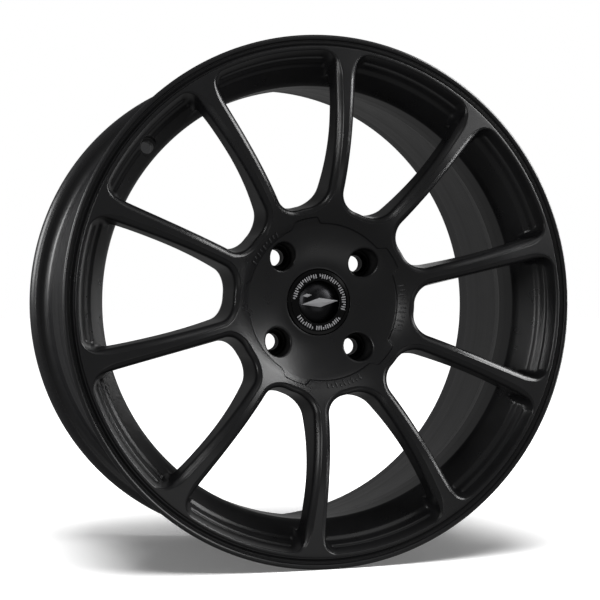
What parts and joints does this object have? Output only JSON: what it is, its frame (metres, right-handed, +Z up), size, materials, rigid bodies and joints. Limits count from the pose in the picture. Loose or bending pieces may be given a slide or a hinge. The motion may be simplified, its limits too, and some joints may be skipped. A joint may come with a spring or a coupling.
{
  "type": "racing wheel rim",
  "caption": "Forged alloy racing wheel with slim bowed spokes, a stepped outer lip, a dished hub with nut pockets, a snap-in centre cap and a hub-centring ring.",
  "frame": {"origin": "wheel centre: on the spin axis, midway between the two tyre flanges", "axes": "+Y along the spin axis towards the car, so the street side faces -Y; +Z up, +X to the right as the street side is seen"},
  "size_m": [0.471, 0.2234, 0.471],
  "materials": {
    "satin_black": "satin black powder coat on forged aluminium",
    "seat_steel": "turned, dull grey",
    "cap_black": "gloss black moulded",
    "badge_metal": "spun dark disc with pale grey marks",
    "spring_wire": "drawn spring wire",
    "ring_plastic": "matt moulded"
  },
  "bodies": {
    "wheel": {"hub_centre": "satin_black", "hub_edge": "satin_black", "rim_outer_flange": "satin_black", "rim_well": "satin_black", "rim_barrel": "satin_black", "rim_inner_flange": "satin_black", "spoke_01": "satin_black", "spoke_02": "satin_black", "spoke_03": "satin_black", "spoke_04": "satin_black", "spoke_05": "satin_black", "spoke_06": "satin_black", "spoke_07": "satin_black", "spoke_08": "satin_black", "spoke_09": "satin_black", "spoke_10": "satin_black", "bolt_seat_1": "seat_steel", "bolt_seat_2": "seat_steel", "bolt_seat_3": "seat_steel", "bolt_seat_4": "seat_steel"},
    "centre_cap": {"cap_shell": "cap_black", "cap_badge": "badge_metal", "cap_spring_ring": "spring_wire"},
    "centring_ring": {"centring_ring": "ring_plastic"}
  },
  "joints": [
    {"name": "cap_pull", "type": "slide", "parent": "wheel", "child": "centre_cap", "axis": [0, -1, 0], "range_m": [0, 0.024]},
    {"name": "ring_slide", "type": "slide", "parent": "wheel", "child": "centring_ring", "axis": [0, 1, 0], "range_m": [0, 0.02]}
  ]
}
